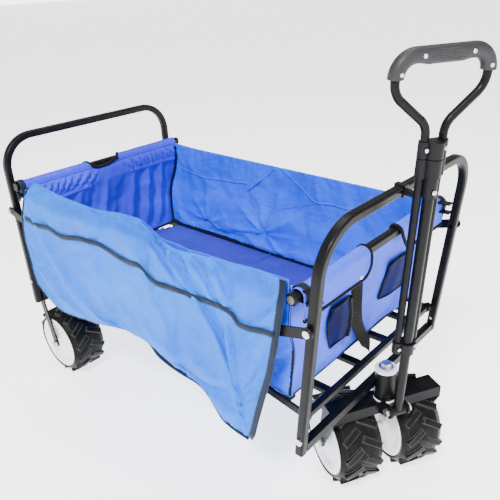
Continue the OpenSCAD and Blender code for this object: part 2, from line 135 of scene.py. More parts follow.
def bump(nt, b, height, strength, dist, prev=None):
    n = N(nt, "ShaderNodeBump")
    n.inputs["Strength"].default_value = strength
    n.inputs["Distance"].default_value = dist
    nt.links.new(height, n.inputs["Height"])
    if prev is not None:
        nt.links.new(prev, n.inputs["Normal"])
    if b is not None:
        nt.links.new(n.outputs["Normal"], b.inputs["Normal"])
    return n.outputs["Normal"]


def paint_mat():
    m, nt, b = mat("black_powder_coat", (0.005, 0.005, 0.006), 0.36, 0.0, 0.12, 0.0)
    v = coords(nt)
    n1 = noise(nt, v, 900, 3)
    n2 = noise(nt, v, 35, 5)
    c = ramp(nt, n2, [(0.3, (0.002, 0.002, 0.003)), (0.7, (0.006, 0.006, 0.006))])
    nt.links.new(c, b.inputs["Base Color"])
    r = math_(nt, "ADD", math_(nt, "MULTIPLY", n2, 0.22), 0.24)
    nt.links.new(r, b.inputs["Roughness"])
    bump(nt, b, n1, 0.12, 0.0004)
    return m


def plastic_mat(name, base, rough, grain=1400, strength=0.25, spec=0.5):
    m, nt, b = mat(name, base, rough, 0.0, spec)
    v = coords(nt)
    n1 = noise(nt, v, grain, 2)
    n2 = noise(nt, v, 60, 4)
    nt.links.new(math_(nt, "ADD", math_(nt, "MULTIPLY", n2, 0.2), rough - 0.1), b.inputs["Roughness"])
    bump(nt, b, n1, strength, 0.0004)
    return m


def steel_mat(name, base=(0.62, 0.62, 0.63), rough=0.28):
    m, nt, b = mat(name, base, rough, 1.0)
    v = coords(nt)
    n2 = noise(nt, v, 220, 5)
    nt.links.new(math_(nt, "ADD", math_(nt, "MULTIPLY", n2, 0.25), rough - 0.1), b.inputs["Roughness"])
    bump(nt, b, n2, 0.08, 0.0005)
    return m


def rubber_mat():
    m, nt, b = mat("tyre_rubber", (0.004, 0.004, 0.004), 0.5, 0.0, 0.10)
    v = coords(nt)
    n1 = noise(nt, v, 500, 4)
    n2 = noise(nt, v, 28, 5)
    c = ramp(nt, n2, [(0.35, (0.002, 0.002, 0.002)), (0.75, (0.009, 0.009, 0.008))])
    nt.links.new(c, b.inputs["Base Color"])
    nt.links.new(math_(nt, "ADD", math_(nt, "MULTIPLY", n2, 0.3), 0.28), b.inputs["Roughness"])
    # lug edges painted paler, partly edge wear and partly painted highlight: a rounded normal differs from the flat one
    # there
    bev = N(nt, "ShaderNodeBevel", samples=6)
    bev.inputs["Radius"].default_value = 0.003
    geo = N(nt, "ShaderNodeNewGeometry")
    dot = N(nt, "ShaderNodeVectorMath", operation="DOT_PRODUCT")
    nt.links.new(bev.outputs["Normal"], dot.inputs[0])
    nt.links.new(geo.outputs["Normal"], dot.inputs[1])
    edge = math_(nt, "MULTIPLY", math_(nt, "SUBTRACT", 1.0, dot.outputs["Value"]), 5.0, clamp=True)
    edge_wear_and_highlight = N(nt, "ShaderNodeMix", data_type="RGBA")
    nt.links.new(math_(nt, "MULTIPLY", edge, n1), edge_wear_and_highlight.inputs["Factor"])
    nt.links.new(c, edge_wear_and_highlight.inputs["A"])
    edge_wear_and_highlight.inputs["B"].default_value = (0.16, 0.16, 0.155, 1)
    nt.links.new(edge_wear_and_highlight.outputs["Result"], b.inputs["Base Color"])
    bump(nt, b, n1, 0.15, 0.0006, bev.outputs["Normal"])
    return m


def cloth_mat(name, light, deep, weave=1500.0, rough=0.55, crease=1.0, sheen=0.25, wscale=0.00012, uv="UVMap"):
    """Coated plain-weave polyester: fine warp and weft, crumple creases, soft tone changes."""
    m, nt, b = mat(name, light, rough, 0.0, 0.12, 0.0, sheen)
    b.inputs["Sheen Roughness"].default_value = 0.4
    uvn = N(nt, "ShaderNodeUVMap", uv_map=uv)
    sep = N(nt, "ShaderNodeSeparateXYZ")
    nt.links.new(uvn.outputs["UV"], sep.inputs[0])
    wu = math_(nt, "SINE", math_(nt, "MULTIPLY", sep.outputs[0], weave * 2 * math.pi))
    wv = math_(nt, "SINE", math_(nt, "MULTIPLY", sep.outputs[1], weave * 2 * math.pi))
    wv2 = math_(nt, "MULTIPLY", wu, wv)
    v = coords(nt)
    tone = noise(nt, v, 5.0, 6, 0.6)
    fine = noise(nt, v, 60.0, 4, 0.6)
    mixv = math_(nt, "ADD", math_(nt, "MULTIPLY", tone, 0.8), math_(nt, "MULTIPLY", fine, 0.2))
    c = ramp(nt, mixv, [(0.30, deep), (0.68, light)])
    nt.links.new(c, b.inputs["Base Color"])
    # creases: warped cells, their borders read as sharp fold lines
    warp = N(nt, "ShaderNodeTexNoise")
    warp.inputs["Scale"].default_value = 6.0
    warp.inputs["Detail"].default_value = 3
    nt.links.new(v, warp.inputs["Vector"])
    add = N(nt, "ShaderNodeVectorMath", operation="MULTIPLY_ADD")
    nt.links.new(warp.outputs["Color"], add.inputs[0])
    add.inputs[1].default_value = (0.10, 0.10, 0.10)
    nt.links.new(v, add.inputs[2])
    vor = N(nt, "ShaderNodeTexVoronoi", feature="DISTANCE_TO_EDGE")
    vor.inputs["Scale"].default_value = 8.0
    nt.links.new(add.outputs[0], vor.inputs["Vector"])
    cr = math_(nt, "MINIMUM", vor.outputs["Distance"], 0.10)
    rid = noise(nt, add.outputs[0], 14.0, 5, 0.5)
    n0 = bump(nt, None, cr, 0.30 * crease, 0.02)
    n1 = bump(nt, None, rid, 0.30 * crease, 0.012, n0)
    bump(nt, b, wv2, 0.10, wscale, n1)
    return m


M_PAINT = paint_mat()
M_PLAST = plastic_mat("black_plastic_grain", (0.005, 0.005, 0.006), 0.42, spec=0.15)


def handle_pt(fore, lat, t):
    """Row-frame point (metres) from the handle's own frame: forward, across, along (mm)."""
    ph, ln = math.radians(-29), math.radians(4.9)
    f = 45 + fore * math.cos(ln) + t * math.sin(ln)
    z = 192 + t * math.cos(ln) - fore * math.sin(ln)
    return Vector(((X0 + 22.4 + f * math.cos(ph) - lat * math.sin(ph)) / 1000, (f * math.sin(ph) + lat * math.cos(ph)) / 1000, z / 1000))


H_FORE = (handle_pt(1, 0, 0) - handle_pt(0, 0, 0)).normalized()
H_LAT = (handle_pt(0, 1, 0) - handle_pt(0, 0, 0)).normalized()
H_UP = (handle_pt(0, 0, 1) - handle_pt(0, 0, 0)).normalized()


def grip_mat():
    m, nt, b = mat("grip_plastic", (0.022, 0.022, 0.024), 0.5, 0.0, 0.25)
    v = coords(nt)
    c = handle_pt(4, 0, 636)
    off = N(nt, "ShaderNodeVectorMath", operation="SUBTRACT")
    nt.links.new(v, off.inputs[0])
    off.inputs[1].default_value = tuple(c)

    def along(d):
        n = N(nt, "ShaderNodeVectorMath", operation="DOT_PRODUCT")
        nt.links.new(off.outputs[0], n.inputs[0])
        n.inputs[1].default_value = tuple(d)
        return n.outputs["Value"]
    la, up = along(H_LAT), along(H_UP)
    # raised diamonds in a lens-shaped patch on the bar
    k = 2 * math.pi / 0.0042
    a = math_(nt, "SINE", math_(nt, "MULTIPLY", math_(nt, "ADD", la, up), k))
    d = math_(nt, "SINE", math_(nt, "MULTIPLY", math_(nt, "SUBTRACT", la, up), k))
    dia = math_(nt, "MULTIPLY", a, d)
    lens = math_(nt, "ADD", math_(nt, "POWER", math_(nt, "DIVIDE", math_(nt, "ABSOLUTE", la), 0.031), 2.0), math_(nt, "POWER", math_(nt, "DIVIDE", math_(nt, "ABSOLUTE", math_(nt, "ADD", up, 0.003)), 0.0085), 2.0))
    mask = math_(nt, "MULTIPLY", math_(nt, "SUBTRACT", 1.0, lens), 4.0, clamp=True)
    n1 = noise(nt, v, 900, 2)
    n2 = noise(nt, v, 50, 4)
    nt.links.new(math_(nt, "ADD", math_(nt, "MULTIPLY", n2, 0.25), 0.36), b.inputs["Roughness"])
    # the diamonds' colour follows their height: painted highlight on the raised tops and painted shade in the hollows
    col = ramp(nt, math_(nt, "ADD", math_(nt, "MULTIPLY", math_(nt, "MULTIPLY", dia, mask), 0.5), 0.5), [(0.2, (0.004, 0.004, 0.004)), (0.5, (0.022, 0.022, 0.024)), (0.8, (0.07, 0.07, 0.075))])
    nt.links.new(col, b.inputs["Base Color"])
    nb = bump(nt, None, math_(nt, "MULTIPLY", dia, mask), 0.8, 0.0012)
    bump(nt, b, n1, 0.3, 0.0004, nb)
    return m


M_GRIP = grip_mat()
M_WHITE = plastic_mat("white_hub_plastic", (0.86, 0.86, 0.86), 0.32, 500, 0.08)
M_STEEL = steel_mat("zinc_steel")
M_RUB = rubber_mat()
M_BLUE = cloth_mat("blue_polyester", (0.0, 0.180, 0.76), (0.0, 0.100, 0.66), crease=1.8, sheen=0.0)
M_BLUE_IN = cloth_mat("blue_polyester_inner", (0.012, 0.130, 1.0), (0.004, 0.055, 0.82), crease=1.3, sheen=0.0)
# rear wall blue is a darker copy of the inner fabric: painted shade for the rear wall
M_BLUE_END_SHADE = cloth_mat("blue_polyester_end_painted_shade", (0.040, 0.055, 0.82), (0.018, 0.018, 0.50), crease=0.9, sheen=0.0)
M_BLUE_FRONT = cloth_mat("blue_polyester_front", (0.075, 0.150, 0.98), (0.035, 0.075, 0.80), crease=0.8, sheen=0.0)
# floor blue is a darker copy of the inner fabric, darkened partway toward the floor's shadowed colour: painted shade
M_BLUE_FLOOR_SHADE = cloth_mat("blue_polyester_floor_painted_shade", (0.040, 0.045, 0.44), (0.020, 0.022, 0.28), crease=0.7, sheen=0.0)
M_BIND = cloth_mat("binding_tape", (0.012, 0.020, 0.042), (0.004, 0.007, 0.016), 900, 0.7, 0.3, 0.1)
M_DISC = plastic_mat("grey_disc", (0.075, 0.075, 0.08), 0.4, 500, 0.1)
M_SEAM = cloth_mat("black_seam_tape", (0.006, 0.007, 0.010), (0.002, 0.003, 0.005), 900, 0.7, 0.3, 0.05)


def web_mat():
    """Ribbed twill webbing: slanting ribs across the strap."""
    m, nt, b = mat("ribbed_webbing", (0.01, 0.01, 0.011), 0.7, 0.0, 0.12)
    uvn = N(nt, "ShaderNodeUVMap", uv_map="UVMap")
    sep = N(nt, "ShaderNodeSeparateXYZ")
    nt.links.new(uvn.outputs["UV"], sep.inputs[0])
    g = math_(nt, "SINE", math_(nt, "MULTIPLY", math_(nt, "ADD", sep.outputs[1], math_(nt, "MULTIPLY", sep.outputs[0], 0.55)), 2 * math.pi / 0.0034))
    fine = math_(nt, "SINE", math_(nt, "MULTIPLY", sep.outputs[0], 2 * math.pi / 0.0016))
    h = math_(nt, "ADD", g, math_(nt, "MULTIPLY", fine, 0.25))
    # rib colour follows the rib height: painted highlight on the ribs and painted shade in the grooves
    col = ramp(nt, math_(nt, "ADD", math_(nt, "MULTIPLY", h, 0.4), 0.5), [(0.25, (0.003, 0.003, 0.003)), (0.8, (0.045, 0.042, 0.035))])
    nt.links.new(col, b.inputs["Base Color"])
    bump(nt, b, h, 0.9, 0.0012)
    return m


def mesh_mat():
    """Black knotted net over the blue cloth behind it."""
    m, nt, b = mat("pocket_net", (0.01, 0.02, 0.1), 0.7, 0.0, 0.08)
    uvn = N(nt, "ShaderNodeUVMap", uv_map="UVMap")
    sep = N(nt, "ShaderNodeSeparateXYZ")
    nt.links.new(uvn.outputs["UV"], sep.inputs[0])
    k = 2 * math.pi / 0.0052
    a = math_(nt, "SINE", math_(nt, "MULTIPLY", math_(nt, "ADD", sep.outputs[0], sep.outputs[1]), k))
    d = math_(nt, "SINE", math_(nt, "MULTIPLY", math_(nt, "SUBTRACT", sep.outputs[0], sep.outputs[1]), k))
    h = math_(nt, "ABSOLUTE", math_(nt, "MULTIPLY", a, d))
    tone = noise(nt, coords(nt), 22, 3)
    hh = math_(nt, "MULTIPLY", h, math_(nt, "ADD", tone, 0.35))
    col = ramp(nt, hh, [(0.22, (0.001, 0.001, 0.003)), (0.50, (0.001, 0.004, 0.060)), (0.9, (0.004, 0.022, 0.36))])
    nt.links.new(col, b.inputs["Base Color"])
    bump(nt, b, h, -0.6, 0.0012)
    return m


M_WEB = web_mat()
M_NET = mesh_mat()


def setmat(o, m):
    o.data.materials.clear()
    o.data.materials.append(m)


PLASTIC = {"front_rail_caps", "rear_rail_caps", "front_feet", "rear_feet", "rod_clamp", "rod_block", "handle_sleeve", "handle_clip"}
STEEL = {"front_rail_bolts", "front_rivets", "rear_rivets", "rear_axles", "rear_axle_nuts", "kingpin", "hinge_bolt", "front_axle", "front_axle_nuts"}
for n, o in NODES.items():
    if n.startswith("tyre"):
        setmat(o, M_RUB)
    elif n.startswith("hub") or n == "head_bushes":
        setmat(o, M_WHITE)
    elif n == "grip_shells":
        setmat(o, M_GRIP)
    elif n in PLASTIC:
        setmat(o, M_PLAST)
    elif n in STEEL:
        setmat(o, M_STEEL)
    elif "wall" in n or "flap" in n or "panel" in n:
        setmat(o, M_BLUE)
    elif n in ("front_pockets", "front_strap"):
        setmat(o, M_WEB)
    else:
        setmat(o, M_PAINT)


# ------------------------------------------------------------------ mesh helpers
def grid_mesh(name, P, uv=None, material=None, smooth=True):
    """P is (rows, cols, 3) in design mm."""
    P = np.asarray(P, float)
    r, c = P.shape[:2]
    verts = [W(p) for p in P.reshape(-1, 3)]
    faces = [(i * c + j, i * c + j + 1, (i + 1) * c + j + 1, (i + 1) * c + j) for i in range(r - 1) for j in range(c - 1)]
    me = bpy.data.meshes.new(name)
    me.from_pydata(verts, [], faces)
    lay = me.uv_layers.new(name="UVMap")
    dr = np.concatenate([[0], np.cumsum(np.linalg.norm(np.diff(P[:, c // 2], axis=0), axis=1))]) / 1000
    dc = np.concatenate([[0], np.cumsum(np.linalg.norm(np.diff(P[r // 2], axis=0), axis=1))]) / 1000
    for poly in me.polygons:
        for li, vi in zip(poly.loop_indices, poly.vertices):
            lay.data[li].uv = (dc[vi % c], dr[vi // c])
    if smooth:
        me.polygons.foreach_set("use_smooth", [True] * len(me.polygons))
    me.update()
    o = bpy.data.objects.new(name, me)
    bpy.context.scene.collection.objects.link(o)
    if material:
        o.data.materials.append(material)
    return o


def thicken(o, mm, offset=0.0):
    md = o.modifiers.new("t", "SOLIDIFY")
    md.thickness = mm / 1000
    md.offset = offset
    apply_mods(o)


def apply_mods(o):
    dg = bpy.context.evaluated_depsgraph_get()
    dg.update()
    me = bpy.data.meshes.new_from_object(o.evaluated_get(dg))
    old = o.data
    o.modifiers.clear()
    o.data = me
    me.name = o.name
    if len(me.materials) == 0 and len(old.materials):
        me.materials.append(old.materials[0])


def crumple(o, pins, shape, frames=24, grow=0.03, cap=12.0, gravity=0.15, seed=1, bend=0.25):
    """A short cloth run between pinned edges: cloth slightly larger than its span falls into natural folds."""
    me = o.data
    rest = np.array([v.co for v in me.vertices])
    vg = o.vertex_groups.new(name="pin")
    for i, w in enumerate(pins):
        if w > 0:
            vg.add([i], float(w), "REPLACE")
    rng = np.random.default_rng(seed)
    nrm = np.array([v.normal for v in me.vertices])
    jit = rng.normal(0, 0.0006, len(rest))
    co = rest + nrm * (jit * (1 - np.asarray(pins)))[:, None]
    me.vertices.foreach_set("co", co.ravel())
    md = o.modifiers.new("Cloth", "CLOTH")
    s = md.settings
    s.quality = 5
    s.mass = 0.25
    s.tension_stiffness = 25
    s.compression_stiffness = 25
    s.shear_stiffness = 8
    s.bending_stiffness = bend
    s.vertex_group_mass = "pin"
    s.pin_stiffness = 1.0
    s.shrink_min = -grow
    s.air_damping = 4
    s.effector_weights.gravity = gravity
    md.collision_settings.use_collision = False
    md.collision_settings.use_self_collision = False
    md.point_cache.frame_start = 1
    md.point_cache.frame_end = frames + 1
    sc = bpy.context.scene
    for f in range(1, frames + 1):
        sc.frame_set(f)
    dg = bpy.context.evaluated_depsgraph_get()
    ev = o.evaluated_get(dg)
    got = np.array([v.co for v in ev.data.vertices])
    o.modifiers.clear()
    o.vertex_groups.clear()
    d = got - rest
    ln = np.linalg.norm(d, axis=1)
    k = np.where(ln > cap / 1000, cap / 1000 / np.maximum(ln, 1e-9), 1.0)
    me.vertices.foreach_set("co", (rest + d * k[:, None]).ravel())
    me.update()
    sc.frame_set(1)


def smooth_noise(rng, r, c, fr, fc):
    a = rng.normal(0, 1, (max(2, fr), max(2, fc)))
    yi = np.linspace(0, a.shape[0] - 1, r); xi = np.linspace(0, a.shape[1] - 1, c)
    y0 = np.clip(np.floor(yi).astype(int), 0, a.shape[0] - 2); x0 = np.clip(np.floor(xi).astype(int), 0, a.shape[1] - 2)
    ty = yi - y0; tx = xi - x0
    ty = ty * ty * (3 - 2 * ty); tx = tx * tx * (3 - 2 * tx)
    g = lambda i, j: a[np.ix_(y0 + i, x0 + j)]
    return (g(0, 0) * (1 - ty)[:, None] * (1 - tx) + g(0, 1) * (1 - ty)[:, None] * tx + g(1, 0) * ty[:, None] * (1 - tx) + g(1, 1) * ty[:, None] * tx)


def curve_at(pts, t):
    pts = np.asarray(pts, float)
    d = np.concatenate([[0], np.cumsum(np.linalg.norm(np.diff(pts, axis=0), axis=1))])
    d /= d[-1]
    t = np.asarray(t)
    return np.stack([np.interp(t, d, pts[:, k]) for k in range(pts.shape[1])], -1)


def smooth_curve(pts, n=200, passes=3):
    p = curve_at(pts, np.linspace(0, 1, n))
    for _ in range(passes * 6):
        q = p.copy()
        q[1:-1] = (p[:-2] + 2 * p[1:-1] + p[2:]) / 4
        p = q
    return p


def coons(top, bottom, left, right, rows, cols):
    u = np.linspace(0, 1, cols); v = np.linspace(0, 1, rows)
    T = curve_at(top, u); B = curve_at(bottom, u); L = curve_at(left, v); R = curve_at(right, v)
    uu, vv = np.meshgrid(u, v)
    uu = uu[..., None]; vv = vv[..., None]
    P = (1 - vv) * T[None] + vv * B[None] + (1 - uu) * L[:, None] + uu * R[:, None]
    P -= (1 - uu) * (1 - vv) * T[0] + uu * (1 - vv) * T[-1] + (1 - uu) * vv * B[0] + uu * vv * B[-1]
    return P


def ribbon(name, path, width, thick, material, normal=(0, -1, 0), out=0.0, body=None, dome=0.0, taper=0.0):
    """A flat tape along path (design mm), width across the path within the surface whose normal is given per point or once."""
    p = np.asarray(path, float)
    n = len(p)
    t = np.gradient(p, axis=0)
    t /= np.linalg.norm(t, axis=1)[:, None] + 1e-9
    nn = np.asarray(normal, float)
    if nn.ndim == 1:
        nn = np.repeat(nn[None], n, 0)
    s = np.cross(t, nn)
    s /= np.linalg.norm(s, axis=1)[:, None] + 1e-9
    nn = np.cross(s, t)
    cols = 5
    P = np.zeros((n, cols, 3))
    for j in range(cols):
        a = j / (cols - 1) * 2 - 1
        w_ = width / 2 * (np.clip((n - 1 - np.arange(n)) / (taper * n), 0.12, 1) if taper else np.ones(n))
        P[:, j] = p + s * (a * w_)[:, None] + nn * (out + dome * (1 - a * a))
    o = grid_mesh(name, P, material=material)
    thicken(o, thick)
    return o


def tube_mesh(name, path, r, material, seg=10):
    p = np.asarray(path, float)
    n = len(p)
    t = np.gradient(p, axis=0)
    t /= np.linalg.norm(t, axis=1)[:, None] + 1e-9
    ref = np.array([0.3, 0.2, 1.0]); ref /= np.linalg.norm(ref)
    P = np.zeros((n, seg + 1, 3))
    a = np.cross(t, ref); a /= np.linalg.norm(a, axis=1)[:, None] + 1e-9
    b = np.cross(t, a)
    for j in range(seg + 1):
        th = 2 * math.pi * j / seg
        P[:, j] = p + r * (math.cos(th) * a + math.sin(th) * b)
    return grid_mesh(name, P, material=material)


def creases(A, B, n, seed, span, amp, width, box, angle=None):
    """Sharp fold lines at random over a surface with coordinates A, B (mm); returns a height field in mm."""
    rng = np.random.default_rng(seed)
    h = np.zeros_like(A, dtype=float)
    for _ in range(n):
        cx = rng.uniform(box[0], box[1]); cz = rng.uniform(box[2], box[3])
        th = rng.uniform(0, math.pi) if angle is None else rng.normal(angle[0], angle[1])
        ln = rng.uniform(*span) / 2; am = rng.uniform(*amp) * rng.choice([-1, 1]); w = rng.uniform(*width)
        dx, dz = A - cx, B - cz
        s_ = dx * math.cos(th) + dz * math.sin(th); t_ = -dx * math.sin(th) + dz * math.cos(th)
        t_ = t_ + 0.0012 * s_ * s_ * rng.choice([-1, 1]) * 0.5
        fade = np.clip(1 - (s_ / ln) ** 2, 0, 1)
        side = np.where(t_ > 0, np.exp(-t_ / (w * 2.2)), np.exp(t_ / w))
        h += am * fade * side
    return h


def star(A, B, cx, cz, arms):
    """Folds running out from a gathered point: (angle degrees, length, height, width at the far end)."""
    h = np.zeros_like(A, dtype=float)
    dx, dz = A - cx, B - cz
    rr = np.hypot(dx, dz)
    for ang, ln, am, w in arms:
        th = math.radians(ang)
        s_ = dx * math.cos(th) + dz * math.sin(th); t_ = -dx * math.sin(th) + dz * math.cos(th)
        ww = 3 + w * np.clip(s_ / ln, 0, 1)
        fade = np.clip(s_ / 14, 0, 1) * np.clip(1 - s_ / ln, 0, 1) ** 0.7
        h += am * fade * np.where(t_ > 0, np.exp(-np.abs(t_) / (ww * 0.6)), np.exp(-np.abs(t_) / (ww * 1.5)))
    return h - 5 * np.exp(-(rr / 9) ** 2)


random.seed(7)
RNG = np.random.default_rng(11)
RES = 1.0
RAIL_F, RAIL_R = -7.0, -793.5
ZR_F, ZR_R = 437.5, 458.5

# ------------------------------------------------------------------ near flap, laid out along sight lines
TOP = smooth_curve([(33, 182), (57.4, 195.2), (80, 204), (95.7, 209.6), (120, 213), (135.5, 217.5), (145, 225), (154.7, 235.1), (165, 243), (175.4, 249.4), (200, 255), (225, 261), (250, 267), (270, 274), (283, 280)], 200, 1)
LEFT = smooth_curve([(33, 182), (26, 191), (24, 200), (22.5, 217), (24.5, 235), (28.7, 252), (34, 272), (38, 284), (46, 292.4)], 100, 1)
BOT = smooth_curve([(46, 292.4), (53.6, 301.6), (61.2, 309.2), (71, 314), (81.3, 316.9), (95.7, 322.2), (126.3, 328.4), (136.8, 334.1), (146, 338), (153, 346), (158, 355), (170, 365), (185, 375), (198, 382), (208, 392), (217, 408), (224, 420), (236, 430), (249, 438.5)], 240, 1)
RIGHT = smooth_curve([(283, 280), (280.5, 300), (278, 320), (274.5, 345), (269, 375), (262, 398), (256, 420), (252, 437), (249, 438.5)], 120, 1)
PIPE = [(25.5, 218.0), (33, 221.5), (44.6, 225.5), (52, 230), (60.6, 235), (76.5, 236.7), (86, 240), (95.7, 242.3), (106, 248), (118, 255.8), (128, 261), (137.1, 262.2), (146.7, 273.4), (158, 281), (172.2, 287.7), (190, 294), (207.3, 300.5), (220, 307), (229.6, 311.6), (235.2, 321.1), (245, 324), (255.8, 326.3), (265, 329.5), (275, 334)]
rows, cols = 90, 170
G = coons(TOP, BOT, LEFT, RIGHT, rows, cols)
u = np.linspace(0, 1, cols)[None]; v = np.linspace(0, 1, rows)[:, None]
TOPY_X = [0, .06, .2, .33, .42, .5, .56, .64, .75, .9, 1]
TOPY = [-214, -222, -232, -226, -216, -232, -246, -244, -236, -234, -238]
ytop = np.interp(u[0], TOPY_X, TOPY)[None]
drop = np.clip(v / 0.16, 0, 1); drop = drop * drop * (3 - 2 * drop)
Yf = ytop * (1 - drop) + (-257.5) * drop
bul = 10 * np.sin(np.pi * np.clip(u, 0, 1)) * np.sin(np.pi * np.clip(v * 1.1, 0, 1))
nz = smooth_noise(RNG, rows, cols, 6, 9) * 2.2 + smooth_noise(RNG, rows, cols, 12, 20) * 1.1
# long diagonal folds that fall from the top edge to the low front corner
diag = np.zeros((rows, cols))
for (c0, sl, wd, am) in [(0.52, 0.42, 0.020, 5), (0.60, 0.38, 0.018, 4), (0.43, 0.55, 0.025, 4.5), (0.70, 0.22, 0.020, 4), (0.30, 0.35, 0.03, 3.5), (0.83, 0.08, 0.03, 1.5), (0.20, 0.1, 0.03, 3)]:
    x = u - (c0 + sl * v)
    diag += am * np.exp(-(x / wd) ** 2) - am * 0.6 * np.exp(-((x - 2.2 * wd) / (1.6 * wd)) ** 2)
wt = np.clip(v / 0.1, 0, 1) * (0.25 + 0.75 * np.clip((1 - v) / 0.07, 0, 1)) * (0.35 + 0.65 * np.clip(u / 0.05, 0, 1)) * (0.35 + 0.65 * np.clip((1 - u) / 0.05, 0, 1))
GX, GY = G[..., 0] * 1.6, G[..., 1] * 1.6
fold = creases(GX, GY, 34, 41, (60, 200), (2.0, 6.5), (3, 8), (60, 450, 330, 690), (-1.1, 0.5))
fold += creases(GX, GY, 60, 42, (25, 90), (1.0, 3.4), (2, 5), (60, 450, 330, 690))
Yf = Yf - (bul + nz * 1.3 + diag * 2.6 + fold) * wt
Yf = np.minimum(Yf, np.where(v > 0.16, -256.8, 0))
Yf = np.where(Yf < -261, -261 - 10 * np.tanh((-261 - Yf) / 10), Yf)      # the folds stay within the room cloth has past the frame
Pf = np.zeros((rows, cols, 3))
for i in range(rows):
    for j in range(cols):
        Pf[i, j] = lift(G[i, j, 0], G[i, j, 1], Yf[i, j])
flap = grid_mesh("flap_cloth", Pf, material=M_BLUE)
pins = np.zeros((rows, cols)); pins[0] = 1; pins[:, 0] = 1; pins[:, -1] = 1; pins[-1] = 1
crumple(flap, pins.ravel(), (rows, cols), frames=20, grow=0.02, cap=9, seed=2)
FLAP_AREA = None


def surf_points(obj, rows, cols):
    return np.array([v.co for v in obj.data.vertices]).reshape(rows, cols, 3) * 1000 - np.array([X0, 0, Z0])


for v_ in flap.data.vertices:
    v_.co.y = max(v_.co.y, -0.2755)
flap.data.update()
Pf = surf_points(flap, rows, cols)


def on_grid(G, P, path, k=160):
    """Surface points of grid P whose picture coordinates in G follow the path."""
    q = curve_at(path, np.linspace(0, 1, k))
    flat = G.reshape(-1, 2)
    out = []
    for a in q:
        d = ((flat - a) ** 2).sum(1)
        idx = np.argsort(d)[:4]
        w = 1 / (d[idx] + 1e-3); w /= w.sum()
        out.append((P.reshape(-1, 3)[idx] * w[:, None]).sum(0))
    out = np.array(out)
    for _ in range(7):
        o2 = out.copy(); o2[1:-1] = (out[:-2] + 2 * out[1:-1] + out[2:]) / 4; out = o2
    return out


def sheet_area(o):
    return sum(p.area for p in o.data.polygons)


thicken(flap, 1.2)
view_n = -F_
bind = []
bind.append(ribbon("flap_seam_tape", on_grid(G, Pf, PIPE), 10, 1.0, M_BIND, normal=(0, -1, 0), out=3.2, dome=0.8))
bind.append(tube_mesh("flap_hem_tape", smooth_curve(Pf[-1] + np.array([0, -0.8, 0.8]), 160, 1), 3.3, M_BIND, 10))
bind.append(ribbon("flap_front_tape", Pf[::2, -1], 11, 3.2, M_BIND, normal=(0, -1, 0), out=0.0, dome=0.5))
bind.append(tube_mesh("flap_rear_tape", smooth_curve(Pf[:, 0][6:], 100, 1), 2.6, M_BIND, 10))

# ------------------------------------------------------------------ side walls
def rear_x(z):
    return -800.0 + 18.0 * float(np.clip(((z - 221) / (ZR_R - 225) - 0.55) / 0.3, 0, 1))


def front_x(z):
    return min(-18.5, -42 + 24.0 * (z - 221) / (ZR_F - 225)) - 1.0


def side_wall(name, sgn, seed, top):
    rows, cols = 60, 150
    rng = np.random.default_rng(seed)
    xs = np.linspace(-783, -34, cols)
    v = np.linspace(0, 1, rows)
    P = np.zeros((rows, cols, 3))
    n1 = smooth_noise(rng, rows, cols, 5, 10) * 2.0 + smooth_noise(rng, rows, cols, 10, 24) * 0.9
    for j, x in enumerate(xs):
        yt, zt = top(x)
        zb = np.interp(x, [-783, -60], [221, 219.6])
        for i in range(rows):
            z = zb + (zt - zb) * v[i]
            k = np.clip((z - 298) / 95, 0, 1); k = k * k * (3 - 2 * k)
            y = 206 + (yt - 206) * k
            edge = min(1, v[i] * 6, (1 - v[i]) * 10, (x + 783) / 40, (-34 - x) / 40)
            xa, xb = rear_x(z), front_x(z)
            P[i, j] = (xa + (xb - xa) * (x + 783.0) / 749.0, sgn * (y + n1[i, j] * max(0, edge)), z)
    return P, rows, cols


def far_top(x):
    return np.interp(x, [-783, -500, -140, -34], [228, 231, 231, 229]), np.interp(x, [-783, -700, -508, -138, -34], [456, 451, 447, 441, 446])


Pw, rw, cw = side_wall("far", 1, 3, far_top)
# the wall puckers around two gathered points; crumple folds cross the rest
U, V = np.meshgrid(np.linspace(-783, -34, cw), np.linspace(219, 450, rw))
dy = star(U, V, -435, 276, [(70, 130, 14, 13), (112, 105, 13, 12), (35, 165, 15, 16), (150, 130, 13, 14), (186, 110, 11, 12), (-32, 120, 14, 13), (5, 110, 11, 13), (92, 80, -9, 9), (130, 120, -8, 10)])
dy += star(U, V, -632, 262, [(60, 100, 11, 12), (100, 110, 10, 11), (140, 90, 12, 12), (20, 100, 10, 13), (-15, 70, 9, 11), (175, 100, 11, 12)])
dy += creases(U, V, 70, 51, (40, 160), (1.4, 5.4), (3, 9), (-780, -40, 230, 400))
dy += creases(U, V, 30, 52, (60, 170), (0.9, 2.4), (3, 7), (-780, -40, 380, 445))
edge_w = np.clip((V - 219) / 22, 0, 1) * np.clip((450 - V) / 16, 0, 1) * np.clip((U + 783) / 30, 0, 1) * np.clip((-34 - U) / 30, 0, 1)
Pw[..., 1] -= np.clip(dy, -2.0, 18) * edge_w
far = grid_mesh("far_wall_cloth", Pw, material=M_BLUE_IN)
pins = np.zeros((rw, cw)); pins[0] = 1; pins[-1] = 1; pins[:, 0] = 1; pins[:, -1] = 1
crumple(far, pins.ravel(), (rw, cw), frames=16, grow=0.02, cap=5, seed=4)
Pw = surf_points(far, rw, cw)
thicken(far, 1.2)

xt = np.array([p[0] for p in Pf[0]]); yt_ = np.array([p[1] for p in Pf[0]]); zt_ = np.array([p[2] for p in Pf[0]])
o_ = np.argsort(xt)


def near_top(x):
    return min(231, -np.interp(x, xt[o_], yt_[o_]) - 2.5), np.interp(x, xt[o_], zt_[o_]) - 1


